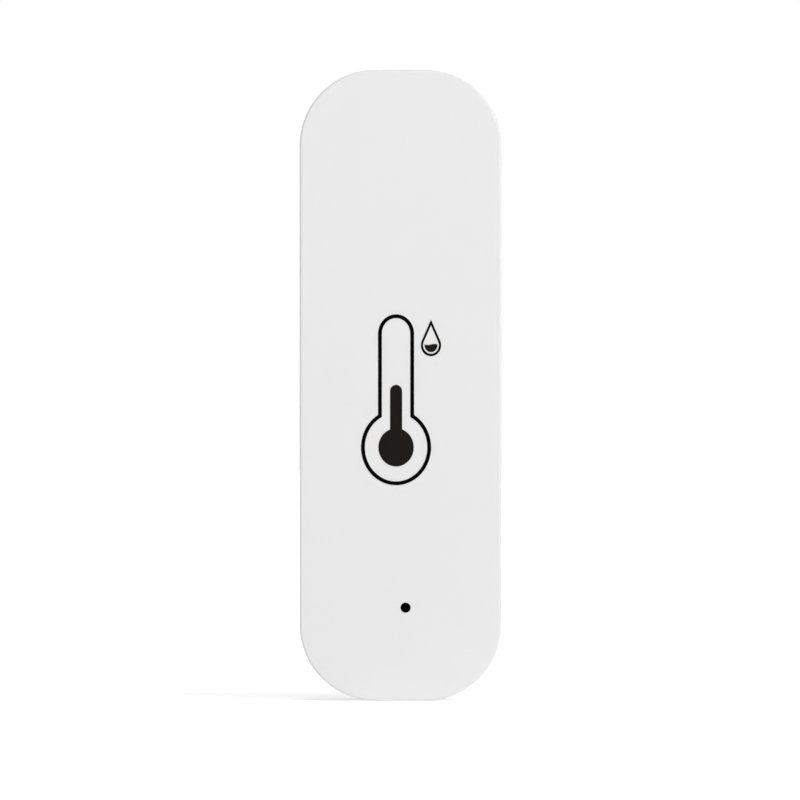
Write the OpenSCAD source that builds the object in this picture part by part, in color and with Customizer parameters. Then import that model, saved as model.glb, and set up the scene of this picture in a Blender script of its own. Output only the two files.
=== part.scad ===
// Temperature and humidity sensor: a slim upright bar with a rear cover that pulls off.
// Frame: seen from the front, +X is to the right and +Z is up, and the front face looks along -Y.
// The origin is under the middle of the bar, on the surface that it stands on.
// A depth is measured from the front face towards the back.

/* [Casing] */
// Outer corner radius of the bar, seen from the front
corner_r = 9.6; // [8:0.1:10.4]
// Thickness of the side walls
wall_t = 1.5; // [1.3:0.1:2.2]
// Thickness of the front face
face_t = 1.6; // [1.2:0.1:2.4]
// Thickness of the rear cover's back
cover_t = 1.6; // [1.2:0.1:2.4]
// Depth of the rear cover, from the seam to its back
cover_h = 3.6; // [3.2:0.1:4.2]
// Rounding of the front edge
front_fillet = 0.3; // [0.2:0.05:1]
// Rounding of the rear edge
rear_fillet = 1.2; // [0.5:0.1:1.5]
// Width of the shadow line at the seam
seam_w = 0.3; // [0.2:0.05:0.5]
// Depth of the shadow line into the wall
seam_in = 0.5; // [0.3:0.05:0.8]

/* [Battery bay] */
// Diameter of one AAA cell
cell_d = 10.3; // [9.5:0.1:10.5]
// Length of one AAA cell, with its pip
cell_len = 44.5; // [43.5:0.1:44.5]
// Diameter of the pip
pip_d = 3.8; // [3.4:0.1:3.8]
// Height of the pip
pip_h = 0.8; // [0.8:0.1:1.2]
// Thickness of the cell's printed jacket
jacket_t = 0.12; // [0.1:0.01:0.2]
// Gap between the two cells
cell_split = 0.4; // [0.3:0.1:2]
// Gap between a cell and the side wall
side_room = 0.8; // [0.5:0.1:2]
// Gap between a cell and its trough
cell_clear = 0.1; // [0.1:0.05:0.3]
// Gap between the cells and the rear cover
cover_room = 0.6; // [0.4:0.1:1.5]
// Working length of a contact spring
spring_len = 4; // [4:0.1:6]
// Outer diameter of a contact spring at its foot
spring_foot_d = 6.9; // [6.5:0.1:7.5]
// Outer diameter of a contact spring at its tip
spring_tip_d = 4.5; // [4:0.1:5]
// Turns of a contact spring
spring_turns = 3; // [2:0.5:3]
// Wire of a contact spring
wire_d = 0.5; // [0.4:0.05:0.5]
// Sheet thickness of the contact plates
contact_t = 0.3; // [0.2:0.05:0.5]
// Width of a single contact plate
contact_w = 8; // [7.5:0.1:9]
// Width of a contact's solder tab
tab_w = 2; // [1.5:0.1:2.5]
// Floor of the cradle under a cell
cradle_floor_t = 0.8; // [0.6:0.1:1.5]
// Height of the cradle's ribs above the board
cradle_rib_h = 3.5; // [2.5:0.1:5]
// Thickness of the cradle's end walls
cradle_end_t = 1.2; // [1:0.1:2]
// Thickness of the cradle's screw ears and top tongue
ear_t = 1.2; // [1:0.1:1.4]

/* [Circuit board] */
// Room between the front face and the board
front_room = 2.9; // [2.7:0.1:4]
// Thickness of the board
board_t = 1; // [0.8:0.1:1.6]
// Gap between the board and the walls
board_gap = 0.4; // [0.3:0.05:0.8]
// Height of the room for the electronics under the battery bay
radio_room = 22.5; // [20:0.1:30]
// Height of the room between the cradle and the top wall
top_room = 3.6; // [3:0.1:6]
// Width of the radio module
radio_w = 12; // [11:0.1:12.4]
// Height of the radio module
radio_h = 14.8; // [13:0.1:15]
// Thickness of the radio module's board
radio_t = 0.8; // [0.6:0.1:1]
// Height of the radio module's shield
shield_h = 1.7; // [1.2:0.1:2.5]
// Side of the temperature and humidity chip
sensor_side = 3; // [2.5:0.1:3]

/* [Button and pinhole] */
// Diameter of the pinhole in the front face
pinhole_d = 1.3; // [1:0.01:1.8]
// Pinhole to the right of the bar's middle
pinhole_x = 0.63; // [-1:0.01:2]
// Height of the pinhole above the bar's foot
pinhole_z = 11.77; // [10:0.01:14]
// Side of the button's square base
switch_side = 4.5; // [4:0.1:5]
// Diameter of the button's plunger
plunger_d = 2; // [1.8:0.1:2.4]
// Travel of the plunger
plunger_travel = 0.25; // [0.15:0.05:0.3]

/* [Fasteners] */
// Outer diameter of the screw bosses
boss_d = 4.2; // [3.6:0.1:4.6]
// Diameter of the screws' shank
screw_d = 1.9; // [1.6:0.1:2]
// Diameter of the screws' head
screw_head_d = 3.6; // [3.2:0.1:4]
// Height of the screws' head
screw_head_h = 1.3; // [1:0.1:1.6]
// Reach of the screws into the bosses
screw_grip = 2.4; // [1.6:0.1:2.6]
// Gap round a screw in the pieces that it passes
screw_clear = 0.2; // [0.1:0.05:0.3]

/* [Rear cover's tongues] */
// Reach of the tongues past the seam
tongue_len = 1.6; // [1:0.1:1.6]
// Thickness of the tongues
tongue_t = 0.6; // [0.5:0.05:0.75]
// Gap between the tongues and the walls
tongue_gap = 0.15; // [0.13:0.01:0.2]
// How far the snap beads stand out of the tongues
bead_out = 0.1; // [0.05:0.01:0.12]
// Length of a snap bead
bead_len = 6; // [3:0.5:10]

/* [Vents] */
// Height of the middle slot above the bar's foot
vent_z = 14.6; // [13:0.1:16]
// Slots on each side
vent_count = 5; // [3:1:5]
// Height of one slot
vent_w = 1.2; // [0.8:0.1:1.4]
// Length of one slot, front to back
vent_len = 6; // [4:0.1:6.5]
// Step from slot to slot
vent_pitch = 2.2; // [2:0.1:2.4]

/* [Mounting pad] */
// Width of the adhesive pad
pad_w = 17; // [12:0.5:19]
// Height of the adhesive pad
pad_h = 60; // [40:0.5:64]
// Thickness of the adhesive pad
pad_t = 1; // [0.8:0.1:1.5]
// Corner radius of the adhesive pad
pad_r = 4; // [2:0.1:6]
// Depth of the pad's seat in the cover
pad_sink = 0.3; // [0.2:0.05:0.5]

/* [Printed signs] */
// Thickness of the ink
ink_t = 0.05; // [0.03:0.01:0.1]
// Height of the signs' round shapes over their width
sign_tall = 1.08; // [1:0.01:1.2]
// Thermometer's axis from the bar's middle
thermo_x = -0.57; // [-1.5:0.01:1]
// Height of the bulb's centre above the bar's foot
bulb_z = 32.11; // [28:0.01:36]
// Outer half width of the bulb
bulb_r = 4.44; // [4:0.01:5]
// Outer half width of the tube
tube_r = 2.28; // [2:0.01:2.6]
// Height of the tube's top above the bulb's centre
tube_top = 16.88; // [14:0.01:20]
// Line width of the thermometer
thermo_line = 0.47; // [0.3:0.01:0.6]
// Half width of the filled bulb
fill_r = 2.24; // [1.8:0.01:2.6]
// Width of the filled column
fill_w = 1.52; // [1:0.01:2]
// Height of the filled column's top above the bulb's centre
fill_top = 7.93; // [5:0.01:12]
// Droplet's axis from the bar's middle
drop_x = 3.86; // [3.5:0.01:6]
// Height of the droplet's centre above the bulb's centre
drop_up = 12.96; // [8:0.01:16]
// Outer half width of the droplet
drop_r = 1.28; // [1:0.01:1.6]
// Height of the droplet's tip above its centre
drop_tip = 3.23; // [2.4:0.01:4]
// Line width of the droplet
drop_line = 0.27; // [0.15:0.01:0.3]
// Half width of the water in the droplet
water_r = 0.81; // [0.6:0.01:0.9]
// Height of the water's surface above the droplet's centre
water_up = 0.09; // [0:0.01:0.2]
// Height of the water's wave
wave_h = 0.06; // [0.03:0.01:0.12]

/* [Hidden] */
$fn = 64;

// How far a feature bites into the wall that carries it, and one small part into another
bite = 0.2;
small_bite = 0.1;
// How far a cutter runs past the face that it cuts
past = 1;

// Levels up the bar
bay_len = cell_len + spring_len;
cradle_z0 = wall_t + radio_room;
bay_z0 = cradle_z0 + cradle_end_t;
bay_z1 = bay_z0 + bay_len;
cradle_z1 = bay_z1 + cradle_end_t;
body_h = cradle_z1 + top_room + wall_t;

// Widths
body_w = 2 * (wall_t + side_room + cell_d) + cell_split;
inner_w = body_w - 2 * wall_t;
cell_r = cell_d / 2;
cell_x = (cell_split + cell_d) / 2;

// Depths from the front face
board_front = face_t + front_room;
board_rear = board_front + board_t;
cell_axis = board_rear + cradle_floor_t + cell_clear + cell_r;
body_d = cell_axis + cell_r + cover_room + cover_t;
seam = body_d - cover_h;
pad_proud = pad_t - pad_sink;

// Front face's place in the frame, with the ink, the bar and the pad centred on Y
face_y = (ink_t - body_d - pad_proud) / 2;

// Screws hold the cradle's ears, beside the radio module, and the board on two bosses of the front shell
ear_h = 4.6;
ear_gap = 0.4;
ear_w = inner_w / 2 - radio_w / 2 - 2 * ear_gap;
screw_x = inner_w / 2 - ear_gap - ear_w / 2;
screw_z = cradle_z0 - ear_h / 2;
pilot_clear = 0.02;
pilot_room = 0.3;
head_top_d = 2.5;
recess_len = 2;
recess_w = 0.5;
recess_deep = 0.65;

// Posts under the board's upper end, and the ledge that keeps the cradle's top tongue down
post_d = 2.5;
post_in = 4.2;
post_down = 3;
post_x = inner_w / 2 - post_in;
post_z = body_h - corner_r - post_down;
ledge_w = 7;
ledge_t = 1.2;
ledge_len = 1.6;
ledge_clear = 0.1;
ledge_from = board_rear + ear_t + ledge_clear;
hook_gap = 0.6;
hook_z1 = body_h - wall_t - hook_gap;

// Vents lie between the board and the cover's tongues
vent_depth = (board_rear + seam - tongue_len) / 2;

// Snap tongues
inner_h = body_h - 2 * wall_t;
tongue_x = inner_w / 2 - tongue_gap - tongue_t;
side_tongue_z = [corner_r + wall_t, body_h - corner_r - wall_t];
end_tongue_gap = 0.2;
end_tongue_w = body_w - 2 * (corner_r + end_tongue_gap);
bead_inset = 9;
bead_z = [side_tongue_z[0] + bead_inset, side_tongue_z[1] - bead_inset];
bead_r = tongue_t / 2;
bead_x = inner_w / 2 - tongue_gap - bead_r + bead_out;
bead_depth = seam - tongue_len / 2;
groove_clear = 0.15;

// Pry notch at the foot of the cover, and the gap round the pad in its seat
pry_w = 8;
pry_in = 1;
pry_h = 1.4;
pad_clear = 0.1;

// Battery cradle and contacts
cradle_gap = 0.25;
contact_low = 4.2;
contact_high = 4.1;
end_wall_top = cell_axis + contact_high;
bridge_w = 2 * cell_x + contact_w;
seat_clear = 0.05;
tab_clear = 0.2;
tab_proud = 0.6;

// Cells: negative plate, the jacket's turned-in ends and the pip's bevel
base_t = 0.35;
base_rim = 0.1;
curl_in = 1.2;
curl_edge = 0.3;
pip_edge = 0.2;

// Radio module, from the foot of the board upwards
radio_foot = 1.7;
radio_z0 = wall_t + radio_foot;
notch_count = 7;
notch_top = 1.2;
notch_pitch = 1.5;
notch_d = 0.8;
shield_edge = 0.7;
shield_len = 9.4;
shield_r = 0.3;
shield_t = 0.2;
copper_t = 0.05;
aerial_count = 7;
aerial_pitch = 1.5;
aerial_line = 0.5;
aerial_h = 3;
aerial_edge = 0.6;

// Temperature and humidity chip, behind the right-hand vents, with a slot that keeps heat away
sensor_h = 0.9;
sensor_well = 0.3;
sensor_port_d = 0.9;
sensor_edge = 0.5;
sensor_x = inner_w / 2 - board_gap - sensor_edge - sensor_side / 2;
slot_gap = 0.2;
slot_w = 0.8;
slot_len = 6;

// Rows of chips on the front of the board, from the cradle's foot upwards
chips_up = 11;
power_up = 11;
store_up = 8;
chips_z = cradle_z0 + chips_up;
power_z = chips_z + power_up;
store_z = power_z + store_up;
boost_x = -5.5;
inductor_x = 5.5;

// Controller, with a dimple at its first pin
controller_side = 5;
controller_h = 0.85;
dimple_d = 0.6;
dimple_in = 0.8;
dimple_deep = 0.1;

// Boost converter and its bent legs
boost_w = 1.6;
boost_len = 2.9;
boost_h = 1.1;
boost_lift = 0.1;
leg_pitch = 0.95;
leg_w = 0.4;
leg_t = 0.15;
leg_up = 0.6;
leg_out = 0.42;
leg_foot = 0.25;

// Inductor, with a round core in a ring groove
inductor_side = 4;
inductor_h = 1.8;
inductor_r = 0.6;
core_d = 2.6;
core_gap = 0.4;
core_deep = 0.3;

// Storage capacitor and its feet
store_w = 2.8;
store_len = 3.5;
store_h = 1.9;
store_lift = 0.1;
store_foot_w = 2.2;
store_foot_len = 0.8;
store_foot_h = 0.6;
store_foot_out = 0.1;

// Clock crystal, with its lid
crystal_w = 2.5;
crystal_len = 3.2;
crystal_base_h = 0.5;
crystal_h = 0.75;
lid_in = 0.2;

// Small capacitors and resistors, with their end caps
chip_w = 0.8;
chip_len = 1.6;
cap_len = 0.34;
cap_proud = 0.02;
capacitor_h = 0.8;
resistor_h = 0.45;

// Small parts: place across, place up and the face of the board, -1 for the front and 1 for the rear
part_pitch = 2.4;
part_step = 1.4;
part_down = 4;
sensor_down = 3.4;
beside_x = -4.2;
led_up = 3;
led_off = 5.2;
led_x = pinhole_x - led_off;
left_x = -sensor_x;
capacitor_spots = concat(
    [for (i = [0 : 2]) [left_x, vent_z - part_down + i * part_pitch, 1]],
    [for (i = [0 : 1]) [beside_x, chips_z + i * part_pitch, -1]],
    [for (i = [0 : 1]) [i * part_step, power_z, -1]],
    [[sensor_x + part_step / 2, vent_z - sensor_down, 1], [0, store_z, -1]]
);
resistor_spots = concat(
    [for (i = [0 : 2]) [left_x + part_step, vent_z - part_down + i * part_pitch, 1]],
    [[sensor_x - part_step / 2, vent_z - sensor_down, 1], [led_x, pinhole_z + led_up, -1],
        [-part_step, power_z, -1]]
);

// Status light, and the thin window for it in the front face
led_len = 1.6;
led_w = 0.8;
led_base_h = 0.3;
led_h = 0.7;
lens_len = 1;
window_d = 2.4;
window_t = 0.5;

// Push button, from the front face to the board, and the guide tube behind the pinhole
switch_base_h = 1.4;
switch_frame_t = 0.2;
switch_floor = 0.3;
press_left = 0.35;
rest_gap = 0.02;
flange_h = 0.28;
flange_out = 0.5;
flange_d = plunger_d + 2 * flange_out;
well_room = 0.25;
well_d = flange_d + 2 * well_room;
slide_clear = 0.06;
dome_t = 0.08;
flange_from = board_front - switch_base_h + rest_gap;
plunger_tip = board_front - switch_base_h - switch_frame_t - plunger_travel - press_left;
dome_top = flange_from + flange_h + rest_gap;
guide_wall = 0.75;
guide_gap = 0.3;
guide_to = plunger_tip - guide_gap;

// Contact spring's coil: straight ends one wire long, with a conical helix between them
coil_sides = 6;
coil_rings = 8;
coil_steps = round(spring_turns * coil_rings);
coil_rise = spring_len - 2 * wire_d;
coil_foot_r = (spring_foot_d - wire_d) / 2;
coil_tip_r = (spring_tip_d - wire_d) / 2;
coil_path = concat(
    [[coil_foot_r, 0, 0]],
    [for (i = [0 : coil_steps]) coil_at(i)],
    [let (tip = coil_at(coil_steps)) [tip.x, tip.y, spring_len]]
);
spring_gap = min([for (i = [0 : coil_steps - coil_rings], j = [i + coil_rings - 2 : coil_steps])
    norm(coil_at(i) - coil_at(j)) - wire_d]);
echo(str("Contact spring's least gap to itself: ", spring_gap, " mm"));

function coil_at(i) =
    let (along = i / coil_steps, turn = i * 360 / coil_rings,
        r = coil_foot_r + (coil_tip_r - coil_foot_r) * along)
    [r * cos(turn), r * sin(turn), wire_d + coil_rise * along];

function unit(v) = v / norm(v);

function coil_way(i) =
    i == 0 || i == len(coil_path) - 1 ? [0, 0, 1]
    : unit(unit(coil_path[i] - coil_path[i - 1]) + unit(coil_path[i + 1] - coil_path[i]));

function coil_ring_point(i, k) =
    let (p = coil_path[i], way = coil_way(i), out = unit([p.x, p.y, 0]),
        across = unit(out - (out * way) * way), angle = k * 360 / coil_sides)
    p + wire_d / 2 * (across * cos(angle) + cross(way, across) * sin(angle));

// Extrudes an outline that is drawn in the front view, between two depths
module plan(from, to) {
    translate([0, face_y + to, 0]) rotate([90, 0, 0]) linear_extrude(to - from) children();
}

// A round rod along the depth
module rod(x, z, from, to, r) {
    translate([x, face_y + from, z]) rotate([-90, 0, 0]) cylinder(r = r, h = to - from);
}

// A block centred on x and z, between two depths
module block(x, z, w, h, from, to) {
    translate([x - w / 2, face_y + from, z - h / 2]) cube([w, to - from, h]);
}

// A round bar along the height
module upright(x, depth, z0, z1, r) {
    translate([x, face_y + depth, z0]) cylinder(r = r, h = z1 - z0);
}

// A rectangle with round corners, centred
module rounded_rectangle(w, h, r) {
    square([w - 2 * r, h], center = true);
    square([w, h - 2 * r], center = true);
    for (x = [-1, 1], y = [-1, 1]) translate([x * (w / 2 - r), y * (h / 2 - r)]) circle(r);
}

// The bar's outline in the front view, drawn in by an inset
module outline(inset) {
    translate([0, body_h / 2])
        rounded_rectangle(body_w - 2 * inset, body_h - 2 * inset, corner_r - inset);
}

// Half of a cross-section through the bar, rounded at its front or rear edge
module edge_section(reach, from, to, front_r, rear_r) {
    middle = (from + to) / 2;
    translate([0, from + front_r]) square([reach, to - from - front_r - rear_r]);
    if (front_r > 0) {
        translate([0, from]) square([reach - front_r, middle - from]);
        translate([reach - front_r, from + front_r]) circle(front_r);
    }
    if (rear_r > 0) {
        translate([0, middle]) square([reach - rear_r, to - middle]);
        translate([reach - rear_r, to - rear_r]) circle(rear_r);
    }
}

// The whole cross-section, with both of its edges
module whole_section(reach, from, to, front_r, rear_r) {
    for (flip = [0, 1]) mirror([flip, 0]) edge_section(reach, from, to, front_r, rear_r);
}

// The solid bar between two depths: an upright block, a block across it and four turned corners
module bar(from, to, front_r, rear_r) {
    straight_w = body_w - 2 * corner_r;
    straight_h = body_h - 2 * corner_r;
    translate([0, face_y, corner_r]) linear_extrude(straight_h)
        whole_section(body_w / 2, from, to, front_r, rear_r);
    translate([0, face_y, body_h / 2]) rotate([0, -90, 0]) linear_extrude(straight_w, center = true)
        whole_section(body_h / 2, from, to, front_r, rear_r);
    for (x = [-1, 1], z = [corner_r, body_h - corner_r])
        translate([x * straight_w / 2, face_y, z]) rotate([-90, 0, 0]) rotate_extrude()
            edge_section(corner_r, from, to, front_r, rear_r);
}

// The front half of the casing: face, walls, screw bosses, board posts, pinhole and side vents
module front_shell() {
    color("white") difference() {
        union() {
            difference() {
                union() {
                    bar(0, seam - seam_w, front_fillet, 0);
                    plan(seam - seam_w - bite, seam) outline(seam_in);
                }
                plan(face_t, seam + past) outline(wall_t);
            }
            for (side = [-1, 1]) {
                rod(side * screw_x, screw_z, face_t - bite, board_front, boss_d / 2);
                rod(side * post_x, post_z, face_t - bite, board_front, post_d / 2);
            }
            rod(pinhole_x, pinhole_z, face_t - bite, guide_to, pinhole_d / 2 + guide_wall);
            block(0, body_h - wall_t - (ledge_len - bite) / 2, ledge_w, ledge_len + bite,
                ledge_from, ledge_from + ledge_t);
        }
        rod(pinhole_x, pinhole_z, -past, guide_to + past, pinhole_d / 2);
        rod(led_x, pinhole_z, window_t, face_t + past, window_d / 2);
        for (side = [-1, 1]) {
            rod(side * screw_x, screw_z, board_front - screw_grip - pilot_room, board_front + past,
                screw_d / 2 + pilot_clear);
            for (i = [0 : vent_count - 1])
                vent(side, vent_z + (i - (vent_count - 1) / 2) * vent_pitch);
            for (z = bead_z)
                upright(side * bead_x, bead_depth, z - bead_len / 2 - groove_clear,
                    z + bead_len / 2 + groove_clear, bead_r + groove_clear);
        }
    }
}

// One vent slot with round ends, cut through a side wall
module vent(side, z) {
    reach = vent_len - vent_w;
    translate([side * (inner_w + wall_t) / 2, face_y + vent_depth, z]) {
        cube([wall_t + 2 * past, reach, vent_w], center = true);
        for (end = [-1, 1])
            translate([0, end * reach / 2, 0]) rotate([0, 90, 0])
                cylinder(d = vent_w, h = wall_t + 2 * past, center = true);
    }
}

// Thermometer sign: an outlined tube and bulb, with the filled column inside
module thermometer_print() {
    color("black") plan(-ink_t, 0) {
        difference() {
            thermometer(bulb_r, tube_r, tube_top, 0);
            thermometer(bulb_r, tube_r, tube_top, thermo_line);
        }
        thermometer(fill_r, fill_w / 2, fill_top, 0);
    }
}

// A bulb with a round-ended column, drawn in from its edge by an inset
module thermometer(bulb, half_w, top, inset) {
    column = top - half_w * sign_tall;
    translate([thermo_x, bulb_z]) {
        tall_circle(bulb, inset);
        translate([inset - half_w, 0]) square([2 * (half_w - inset), column]);
        translate([0, column]) tall_circle(half_w, inset);
    }
}

// A circle stretched upwards, drawn in from its edge by an inset
module tall_circle(r, inset) {
    scale([1, (r * sign_tall - inset) / (r - inset)]) circle(r - inset);
}

// Droplet sign: an outlined drop with water in it
module droplet_print() {
    tip = drop_tip / sign_tall;
    color("black") plan(-ink_t, 0) translate([drop_x, bulb_z + drop_up]) scale([1, sign_tall]) {
        difference() {
            droplet(drop_r, tip);
            droplet(drop_r - drop_line, tip * (drop_r - drop_line) / drop_r);
        }
        intersection() {
            circle(water_r);
            polygon(concat(
                [for (turn = [-180 : 30 : 180]) [water_r * turn / 180, water_up + wave_h * sin(turn)]],
                [[water_r, -water_r], [-water_r, -water_r]]
            ));
        }
    }
}

// A round drop whose straight flanks meet at its tip
module droplet(r, tip) {
    rise = r * r / tip;
    half_w = r * sqrt(1 - r * r / (tip * tip));
    circle(r);
    polygon([[-half_w, rise], [half_w, rise], [0, tip]]);
}

// The main circuit board, which fills the casing behind the front face
module main_board() {
    color("darkgreen") plan(board_front, board_rear) difference() {
        outline(wall_t + board_gap);
        for (side = [-1, 1]) {
            translate([side * screw_x, screw_z]) circle(screw_d / 2 + screw_clear);
            translate([side * cell_x, bay_z0 - contact_t / 2])
                square([tab_w + 2 * tab_clear, contact_t + 2 * tab_clear], center = true);
        }
        translate([sensor_x - sensor_side / 2 - slot_gap - slot_w / 2, vent_z]) {
            square([slot_w, slot_len - slot_w], center = true);
            for (end = [-1, 1]) translate([0, end * (slot_len - slot_w) / 2]) circle(slot_w / 2);
        }
    }
}

// The radio module's small board, with half-round solder notches along its sides
module radio_board() {
    color("black") plan(board_rear, board_rear + radio_t) difference() {
        translate([0, radio_z0 + radio_h / 2]) square([radio_w, radio_h], center = true);
        for (side = [-1, 1], i = [0 : notch_count - 1])
            translate([side * radio_w / 2, radio_z0 + radio_h - notch_top - i * notch_pitch])
                circle(notch_d / 2);
    }
}

// The radio module's shield, a sheet metal can that is open towards its board
module radio_shield() {
    from = board_rear + radio_t;
    centre_z = radio_z0 + radio_h - shield_edge - shield_len / 2;
    shield_w = radio_w - 2 * shield_edge;
    color("silver") difference() {
        plan(from, from + shield_h) translate([0, centre_z])
            rounded_rectangle(shield_w, shield_len, shield_r);
        plan(from - past, from + shield_h - shield_t) translate([0, centre_z])
            square([shield_w - 2 * shield_r, shield_len - 2 * shield_r], center = true);
    }
}

// The radio's printed aerial, a line that folds up and down across the end of its board
module radio_antenna() {
    from = board_rear + radio_t;
    left = -(aerial_count - 1) / 2 * aerial_pitch;
    bottom = radio_z0 + aerial_edge;
    color("gold") plan(from, from + copper_t) {
        for (i = [0 : aerial_count - 1])
            translate([left + i * aerial_pitch - aerial_line / 2, bottom])
                square([aerial_line, aerial_h]);
        for (i = [0 : aerial_count - 2])
            translate([left + i * aerial_pitch, i % 2 == 0 ? bottom : bottom + aerial_h - aerial_line])
                square([aerial_pitch, aerial_line]);
    }
}

// The temperature and humidity chip, with the opening that lets air in
module sensor_chip() {
    color("dimgray") difference() {
        block(sensor_x, vent_z, sensor_side, sensor_side, board_rear, board_rear + sensor_h);
        rod(sensor_x, vent_z, board_rear + sensor_h - sensor_well, board_rear + sensor_h + past,
            sensor_port_d / 2);
    }
}

// The controller, a flat square chip with a dimple that marks its first pin
module controller_chip() {
    mark = controller_side / 2 - dimple_in;
    top = board_front - controller_h;
    color("black") difference() {
        block(0, chips_z, controller_side, controller_side, top, board_front);
        rod(-mark, chips_z + mark, top - past, top + dimple_deep, dimple_d / 2);
    }
}

// The boost converter, a small chip with three bent legs on each side
module boost_chip() {
    color("black") {
        block(boost_x, power_z, boost_w, boost_len, board_front - boost_h, board_front - boost_lift);
        for (flip = [0, 1], i = [-1 : 1])
            translate([boost_x, face_y + board_front, power_z + i * leg_pitch])
                mirror([flip, 0, 0]) bent_leg();
    }
}

// A leg that leaves the chip's side, bends down to the board and ends in a foot
module bent_leg() {
    root = boost_w / 2 - small_bite;
    bend = boost_w / 2 + leg_out;
    translate([0, 0, -leg_w / 2]) linear_extrude(leg_w) polygon([
        [root, -leg_up], [bend, -leg_up], [bend, -leg_t], [bend + leg_foot, -leg_t],
        [bend + leg_foot, 0], [bend - leg_t, 0], [bend - leg_t, leg_t - leg_up], [root, leg_t - leg_up]
    ]);
}

// The boost converter's inductor, a block with a round core
module power_inductor() {
    top = board_front - inductor_h;
    color("gray") difference() {
        plan(top, board_front) translate([inductor_x, power_z])
            rounded_rectangle(inductor_side, inductor_side, inductor_r);
        difference() {
            rod(inductor_x, power_z, top - past, top + core_deep, core_d / 2 + core_gap);
            rod(inductor_x, power_z, top - 2 * past, top + core_deep + past, core_d / 2);
        }
    }
}

// The capacitor that holds the supply up while the radio sends
module storage_capacitor() {
    foot_z = (store_len - store_foot_len) / 2 + store_foot_out;
    color("orange") {
        block(boost_x, store_z, store_w, store_len, board_front - store_h, board_front - store_lift);
        for (end = [-1, 1])
            block(boost_x, store_z + end * foot_z, store_foot_w, store_foot_len,
                board_front - store_foot_h, board_front);
    }
}

// The controller's clock crystal, a ceramic base under a metal lid
module clock_crystal() {
    base_top = board_front - crystal_base_h;
    color("silver") {
        block(inductor_x, chips_z, crystal_w, crystal_len, base_top, board_front);
        block(inductor_x, chips_z, crystal_w - 2 * lid_in, crystal_len - 2 * lid_in,
            board_front - crystal_h, base_top + small_bite);
    }
}

// A small capacitor or resistor with a metal cap on each end, on the front or the rear of the board
module chip_part(spot, height) {
    front = spot[2] < 0;
    cap_z = (chip_len - cap_len) / 2 + cap_proud;
    cap_h = height + cap_proud;
    block(spot[0], spot[1], chip_w, chip_len, front ? board_front - height : board_rear,
        front ? board_front : board_rear + height);
    for (end = [-1, 1])
        block(spot[0], spot[1] + end * cap_z, chip_w + 2 * cap_proud, cap_len,
            front ? board_front - cap_h : board_rear, front ? board_front : board_rear + cap_h);
}

module ceramic_capacitors() {
    color("tan") for (spot = capacitor_spots) chip_part(spot, capacitor_h);
}

module chip_resistors() {
    color("black") for (spot = resistor_spots) chip_part(spot, resistor_h);
}

// The status light behind the thin window in the front face
module status_led() {
    base_top = board_front - led_base_h;
    color("ivory") {
        block(led_x, pinhole_z, led_len, led_w, base_top, board_front);
        block(led_x, pinhole_z, lens_len, led_w, board_front - led_h, base_top + small_bite);
    }
}

// The push button behind the pinhole: base with a well
module switch_base() {
    color("black") difference() {
        block(pinhole_x, pinhole_z, switch_side, switch_side, board_front - switch_base_h, board_front);
        rod(pinhole_x, pinhole_z, board_front - switch_base_h - past, board_front - switch_floor,
            well_d / 2);
    }
}

// The push button's metal plate, which keeps the plunger in its well
module switch_frame() {
    rear = board_front - switch_base_h;
    color("silver") difference() {
        block(pinhole_x, pinhole_z, switch_side, switch_side, rear - switch_frame_t, rear);
        rod(pinhole_x, pinhole_z, rear - switch_frame_t - past, rear + past,
            plunger_d / 2 + slide_clear);
    }
}

// The push button's snap dome, a thin round shell on the floor of the well
module switch_dome() {
    floor_d = board_front - switch_floor;
    rise = floor_d - dome_top;
    half = well_d / 2 - slide_clear;
    sphere_r = (half * half + rise * rise) / (2 * rise);
    color("silver") translate([pinhole_x, face_y + floor_d, pinhole_z]) rotate([90, 0, 0])
        rotate_extrude() intersection() {
            difference() {
                translate([0, rise - sphere_r]) circle(sphere_r);
                translate([0, rise - sphere_r]) circle(sphere_r - dome_t);
            }
            square([half, rise]);
        }
}

// The push button's plunger, with the flange that rests on the dome
module switch_plunger() {
    color("black") {
        rod(pinhole_x, pinhole_z, plunger_tip, flange_from + bite, plunger_d / 2);
        rod(pinhole_x, pinhole_z, flange_from, flange_from + flange_h, flange_d / 2);
    }
}

// The battery cradle: troughs for two cells, end walls for the contacts, screw ears, top tongue
module battery_cradle() {
    end_w = 2 * (tongue_x - cradle_gap);
    color("whitesmoke") difference() {
        union() {
            intersection() {
                union() {
                    block(0, (cradle_z0 + cradle_z1) / 2, inner_w, cradle_z1 - cradle_z0,
                        board_rear, board_rear + cradle_rib_h);
                    for (z = [cradle_z0, bay_z1])
                        block(0, z + cradle_end_t / 2, end_w, cradle_end_t, board_rear, end_wall_top);
                }
                plan(board_rear - past, end_wall_top + past) outline(wall_t + cradle_gap);
            }
            for (side = [-1, 1])
                block(side * screw_x, screw_z + bite, ear_w, ear_h + 2 * bite, board_rear,
                    board_rear + ear_t);
            block(0, (cradle_z1 + hook_z1 - bite) / 2, ledge_w, hook_z1 - cradle_z1 + bite, board_rear,
                board_rear + ear_t);
        }
        for (side = [-1, 1]) {
            upright(side * cell_x, cell_axis, bay_z0, bay_z1, cell_r + cell_clear);
            rod(side * screw_x, screw_z, board_rear - past, board_rear + ear_t + past,
                screw_d / 2 + screw_clear);
            contact_seat(side * cell_x, contact_w, bay_z0 - contact_t, bay_z0 + seat_clear);
            block(side * cell_x, bay_z0 + (seat_clear - contact_t) / 2, tab_w + 2 * seat_clear,
                contact_t + seat_clear, board_rear - past, cell_axis);
        }
        contact_seat(0, bridge_w, bay_z1 - seat_clear, bay_z1 + contact_t);
    }
}

// The seat of a contact plate in an end wall, open to the bay
module contact_seat(x, w, z0, z1) {
    block(x, (z0 + z1) / 2, w + 2 * seat_clear, z1 - z0, cell_axis - contact_low - seat_clear,
        end_wall_top + past);
}

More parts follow.
